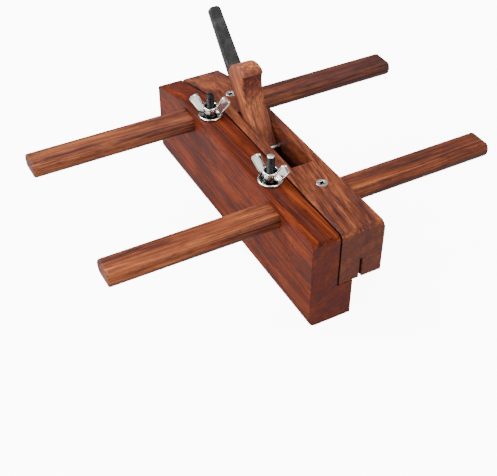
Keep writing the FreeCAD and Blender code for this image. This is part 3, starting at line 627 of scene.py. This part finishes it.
# ---------------------------------------------------------------- iron, pins, screws and skates
IRON_LOW, IRON_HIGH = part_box("cutting_iron")
iron_metal = forged_iron("forged_iron", Vector((IRON_HIGH.x, 0.0, IRON_LOW.z)))
pin_steel = worked_steel(
    "bright_steel", ((0.50, 0.50, 0.49), (0.78, 0.77, 0.75)), (0.22, 0.34),
    (2400.0, 120.0, 2400.0),
)
plate_steel = worked_steel(
    "skate_steel", ((0.30, 0.30, 0.31), (0.50, 0.50, 0.50)), (0.32, 0.48),
    (90.0, 2000.0, 2000.0),
)
# Painted shade darkens the screws' cross recesses, the washers' dishes and the wing nuts' lower
# bosses.
screw_metal = worked_steel(
    "screw_plating", ((0.72, 0.71, 0.68), (0.92, 0.91, 0.88)), (0.20, 0.34),
    (900.0, 900.0, 900.0),
    low_shade=(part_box("rear_arm_screw")[1].z, 0.2 * MM, 0.9 * MM),
)
washer_metal = worked_steel(
    "washer_plating", ((0.72, 0.71, 0.69), (0.92, 0.91, 0.89)), (0.12, 0.24),
    (500.0, 500.0, 700.0),
    low_shade=(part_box("rear_washer")[1].z, 0.4 * MM, 2.2 * MM),
)
nut_metal = worked_steel(
    "nut_plating", ((0.70, 0.69, 0.67), (0.90, 0.89, 0.87)), (0.10, 0.20),
    (500.0, 500.0, 700.0),
    low_shade=(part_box("rear_wing_nut")[0].z + 5.6 * MM, 0.6 * MM, 3.6 * MM),
)
# Only the front stud's end rises above bright_above, so its bright cut metal also stands in for a
# painted highlight there.
stud_metal = worked_steel(
    "dark_stud_steel", ((0.010, 0.010, 0.010), (0.042, 0.040, 0.040)), (0.30, 0.46),
    (900.0, 900.0, 900.0),
    bright_above=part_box("front_clamp_stud")[1].z - 0.5 * MM,
)

dress_node("cutting_iron", iron_metal)
soften("cutting_iron", 0.35 * MM)
dress_node("throat_pin", pin_steel)
soften("throat_pin", 0.15 * MM, limit=40.0)
for node in ("rear_skate", "front_skate", "skate_pins", "rear_clamp_dog", "front_clamp_dog"):
    dress_node(node, plate_steel)
    soften(node, 0.12 * MM, limit=40.0)


def cross_recess(across, up):
    """Depth of a cross-head screw's recess, as a share of its full depth."""
    bar, arm, wall = 0.45 * MM, 2.1 * MM, 0.25 * MM
    core = 1.0 * MM
    narrow, wide = sorted((abs(across), abs(up)))
    slot = min((bar - narrow) / wall + 1.0, (arm - wide) / wall * 0.5 + 1.0)
    hub = (core - math.hypot(across, up)) / wall + 1.0
    return min(1.0, max(0.0, slot, hub))


def make_screw(side):
    """A countersunk screw: a slightly crowned head with a cross recess, and its shank."""
    low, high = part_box(f"{side}_arm_screw")
    centre = (low + high) / 2
    head, shank = (high.x - low.x) / 2, 2.0 * MM
    depth, crown = 1.7 * MM, 0.05 * MM
    edge, edge_drop, land = 0.12 * MM, 0.16 * MM, 0.10 * MM
    point, blunt = 3.0 * MM, 0.2 * MM
    around, steps = 96, 30
    turn = math.radians(35.0)
    rings = []
    for step in range(1, steps + 1):
        radius = (head - edge) * step / steps
        ring = []
        for index in range(around):
            angle = 2 * math.pi * index / around
            across, up = radius * math.cos(angle), radius * math.sin(angle)
            level = high.z - crown * (radius / head) ** 2 - depth * cross_recess(
                radius * math.cos(angle - turn), radius * math.sin(angle - turn))
            ring.append((centre.x + across, centre.y + up, level))
        rings.append(ring)
    rim = high.z - edge_drop
    for radius, level in (
        (head, rim), (head, rim - land), (shank, rim - land - (head - shank)),
        (shank, low.z + point), (blunt, low.z + blunt),
    ):
        rings.append([
            (centre.x + radius * math.cos(2 * math.pi * index / around),
             centre.y + radius * math.sin(2 * math.pi * index / around), level)
            for index in range(around)
        ])
    vertices = [vertex for ring in rings for vertex in ring]
    faces = stitch_rings(rings)
    faces.append(tuple(range(around)))
    faces.append(tuple(range(len(vertices) - around, len(vertices))))
    piece = new_piece(f"{side}_cross_head_screw", vertices, faces, screw_metal, "stock",
                      crease=40.0)
    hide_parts(f"{side}_arm_screw")


for side in SIDES:
    make_screw(side)


# ---------------------------------------------------------------- clamps
def make_stud(side):
    """A threaded stud whose thread fades out at its chamfered ends."""
    low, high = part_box(f"{side}_clamp_stud")
    centre = (low + high) / 2
    outer = (high.x - low.x) / 2
    pitch, depth, chamfer = 1.0 * MM, 0.45 * MM, 0.7 * MM
    chamfer_slope, flank_slope, crest = 0.9, 1.25, 0.12
    around, rise = 32, pitch / 8
    rows = round((high.z - low.z) / rise)
    rings = []
    for row in range(rows + 1):
        level = low.z + (high.z - low.z) * row / rows
        end = min(level - low.z, high.z - level)
        limit = outer - max(0.0, chamfer - end) * chamfer_slope
        ring = []
        for step in range(around):
            turn = step / around
            phase = (level / pitch - turn) % 1.0
            flank = abs(2 * phase - 1.0)
            cut = min(1.0, max(0.0, flank_slope * flank - crest))
            radius = min(limit, outer - depth * cut)
            angle = 2 * math.pi * turn
            ring.append((
                centre.x + radius * math.cos(angle), centre.y + radius * math.sin(angle), level,
            ))
        rings.append(ring)
    vertices = [vertex for ring in rings for vertex in ring]
    faces = stitch_rings(rings)
    for ring, level in ((0, low.z), (rows, high.z)):
        centre_index = len(vertices)
        vertices.append((centre.x, centre.y, level))
        for step in range(around):
            faces.append((centre_index, ring * around + step, ring * around + (step + 1) % around))
    piece = new_piece(f"{side}_threaded_stud", vertices, faces, stud_metal, "sliding_fence",
                      crease=50.0)
    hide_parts(f"{side}_clamp_stud")


def make_washer(side):
    """A dished washer with a rolled rim."""
    low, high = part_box(f"{side}_washer")
    centre = ((low.x + high.x) / 2, (low.y + high.y) / 2, low.z)
    rim, bore = (high.x - low.x) / 2, 3.2 * MM
    tall = high.z - low.z
    roll, wrap, steps = 0.75 * MM, math.radians(207.0), 8
    roll_foot, groove, groove_level = 1.1 * MM, 1.75 * MM, 0.85 * MM
    dish, sheet = 2.3 * MM, 0.6 * MM
    profile = [(bore, 0.0), (rim - roll_foot, 0.0)]
    for step in range(steps + 1):
        angle = -math.pi / 2 + wrap * step / steps
        profile.append((
            rim - roll + roll * math.cos(angle),
            tall / 2 + tall / 2 * math.sin(angle),
        ))
    profile += [(rim - groove, groove_level), (rim - dish, sheet), (bore, sheet)]
    vertices, faces = lathe(profile, centre, 72)
    piece = new_piece(f"{side}_dished_washer", vertices, faces, washer_metal, f"{side}_washer_body",
                      crease=50.0)
    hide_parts(f"{side}_washer")


NUT_TURN = {"rear": math.radians(50.0), "front": math.radians(24.0)}


def make_wing_nut(side):
    """A pressed wing nut: a hollow boss with a collar, and two folded wings with rolled rims."""
    low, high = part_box(f"{side}_wing_nut")
    centre = Vector(((low.x + high.x) / 2, (low.y + high.y) / 2, low.z))
    tall = high.z - low.z
    foot, waist, collar, mouth, bore = 5.0 * MM, 4.7 * MM, 5.95 * MM, 4.45 * MM, 3.06 * MM
    crown = 8.0 * MM
    ease, collar_ease, mouth_ease = 0.2 * MM, 0.6 * MM, 0.25 * MM
    boss = [
        (bore, 0.0), (foot - ease, 0.0), (foot, ease), (foot, 0.6 * MM),
        (waist, 1.3 * MM), (waist, crown - 3.0 * MM), (collar - 0.3 * MM, crown - 2.4 * MM),
        (collar, crown - 2.0 * MM), (collar, crown - collar_ease),
        (collar - 0.22 * MM, crown - 0.17 * MM), (collar - collar_ease, crown),
        (mouth + mouth_ease, crown), (mouth, crown - mouth_ease),
        (mouth - mouth_ease, 1.6 * MM), (bore, 1.2 * MM),
    ]
    vertices, faces = lathe(boss, (0.0, 0.0, 0.0), 64)
    vertices = [Vector(vertex) for vertex in vertices]
    tip, root, corner = 16.4 * MM, waist - 0.5 * MM, 2.2 * MM
    outline = rounded([
        (root, 1.5 * MM, 0.0),
        (tip - 8.2 * MM, 1.35 * MM, 2.0 * MM),
        (tip, tall - 5.0 * MM, corner),
        (tip - 6.2 * MM, tall + 0.3 * MM, corner),
        (root, crown - 1.2 * MM, 0.0),
    ])
    # From the pressed-in face, over the rolled rim, to the folded sheet's inner lip.
    half = 1.55 * MM
    face, lip = half - 0.42 * MM, half - 1.0 * MM
    side_layers = [
        (1.9 * MM, -face), (1.25 * MM, -face - 0.02 * MM), (0.95 * MM, -half + 0.06 * MM),
        (0.55 * MM, -half), (0.18 * MM, -half + 0.14 * MM), (0.0, -half + 0.45 * MM),
        (0.12 * MM, -lip), (0.75 * MM, -lip + 0.18 * MM),
    ]
    layers = side_layers + [(depth, -across) for depth, across in reversed(side_layers)]
    for mirror in (1.0, -1.0):
        points = [Vector((point.x * mirror, point.y)) for point in outline]
        wing, wing_faces = slab(points, layers)
        offset = len(vertices)
        vertices += wing
        faces += [tuple(index + offset for index in face) for face in wing_faces]
    turn = Matrix.Rotation(NUT_TURN[side], 3, "Z")
    vertices = [centre + turn @ vertex for vertex in vertices]
    piece = new_piece(f"{side}_pressed_wing_nut", vertices, faces, nut_metal, f"{side}_nut_body",
                      crease=42.0)
    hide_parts(f"{side}_wing_nut")


for side in SIDES:
    make_stud(side)
    make_washer(side)
    make_wing_nut(side)


# ---------------------------------------------------------------- floor, light and camera
FLOOR_GLOW = 9.0
MIRROR_GLOW = 0.6
FLOOR_REACH = 6.0
FLOOR_GREY = colour(0.32, 0.32, 0.32)
FLOOR_WHITE = colour(0.88, 0.88, 0.88)
HORIZON = colour(0.16, 0.16, 0.165)
CEILING = colour(1.0, 1.0, 1.0)
CEILING_LEVEL = 0.7
SKY_STRENGTH = 0.5
LAMP_AIM = Vector((0.0, 0.0, 0.05))
CAMERA_PLACE = Vector((0.4797, -0.2666, 0.4523))
CAMERA_DIRECTION = Vector((-0.66645, 0.35927, -0.65328))
CAMERA_LENS = 66.2
SENSOR_WIDTH = 36.0


def make_floor():
    """A white sweep: overexposed for the camera, pale in mirrors, and dimmer as a reflector."""
    mesh = bpy.data.meshes.new("floor")
    reach = FLOOR_REACH
    mesh.from_pydata(
        [(-reach, -reach, 0.0), (reach, -reach, 0.0), (reach, reach, 0.0), (-reach, reach, 0.0)],
        [], [(0, 1, 2, 3)],
    )
    graph = Graph("floor_white")
    rays = graph.add("LightPath").outputs
    seen = rays["Is Camera Ray"]
    graph.set(
        Base_Color=graph.mix(seen, FLOOR_GREY, FLOOR_WHITE),
        Emission_Color=colour(1.0, 1.0, 1.0),
        Emission_Strength=graph.weigh((seen, FLOOR_GLOW), (rays["Is Glossy Ray"], MIRROR_GLOW)),
        Roughness=0.9,
    )
    mesh.materials.append(graph.material)
    floor = bpy.data.objects.new("floor", mesh)
    bpy.context.scene.collection.objects.link(floor)


def add_softbox(name, place, size, power):
    """A rectangular lamp turned towards the middle of the plane."""
    light = bpy.data.lights.new(name, "AREA")
    light.shape = "RECTANGLE"
    light.size, light.size_y = size
    light.energy = power
    lamp = bpy.data.objects.new(name, light)
    lamp.location = place
    lamp.rotation_euler = (LAMP_AIM - Vector(place)).to_track_quat("-Z", "Y").to_euler()
    bpy.context.scene.collection.objects.link(lamp)


def make_world():
    """A soft studio: a bright ceiling over a dim horizon, and a white backdrop for the camera."""
    world = bpy.data.worlds.new("studio")
    bpy.context.scene.world = world
    world.use_nodes = True
    tree = world.node_tree
    sky = tree.nodes["Background"]
    sky.inputs["Strength"].default_value = SKY_STRENGTH
    coordinates = tree.nodes.new("ShaderNodeTexCoord")
    split = tree.nodes.new("ShaderNodeSeparateXYZ")
    ramp = tree.nodes.new("ShaderNodeValToRGB")
    horizon, ceiling = ramp.color_ramp.elements
    horizon.position, ceiling.position = 0.0, CEILING_LEVEL
    horizon.color, ceiling.color = HORIZON, CEILING
    tree.links.new(coordinates.outputs["Generated"], split.inputs[0])
    tree.links.new(split.outputs["Z"], ramp.inputs[0])
    tree.links.new(ramp.outputs[0], sky.inputs["Color"])
    backdrop = tree.nodes.new("ShaderNodeBackground")
    backdrop.inputs["Strength"].default_value = FLOOR_GLOW
    choose = tree.nodes.new("ShaderNodeMixShader")
    path = tree.nodes.new("ShaderNodeLightPath")
    tree.links.new(path.outputs["Is Camera Ray"], choose.inputs[0])
    tree.links.new(sky.outputs[0], choose.inputs[1])
    tree.links.new(backdrop.outputs[0], choose.inputs[2])
    tree.links.new(choose.outputs[0], tree.nodes["World Output"].inputs["Surface"])


def make_camera():
    """The scene's camera, above the plane's front end on the fence's side."""
    data = bpy.data.cameras.new("camera")
    data.lens = CAMERA_LENS
    data.sensor_width = SENSOR_WIDTH
    camera = bpy.data.objects.new("camera", data)
    camera.location = CAMERA_PLACE
    camera.rotation_euler = CAMERA_DIRECTION.to_track_quat("-Z", "Y").to_euler()
    bpy.context.scene.collection.objects.link(camera)
    bpy.context.scene.camera = camera


make_floor()
make_world()
add_softbox("key", (-0.75, -0.75, 1.05), (0.8, 0.8), 40.0)
add_softbox("left", (0.45, -1.25, 0.55), (0.8, 0.6), 20.0)
add_softbox("top", (0.3, 0.4, 1.4), (0.9, 0.9), 12.0)
add_softbox("front", (1.3, 0.35, 0.5), (0.7, 0.5), 8.0)
make_camera()
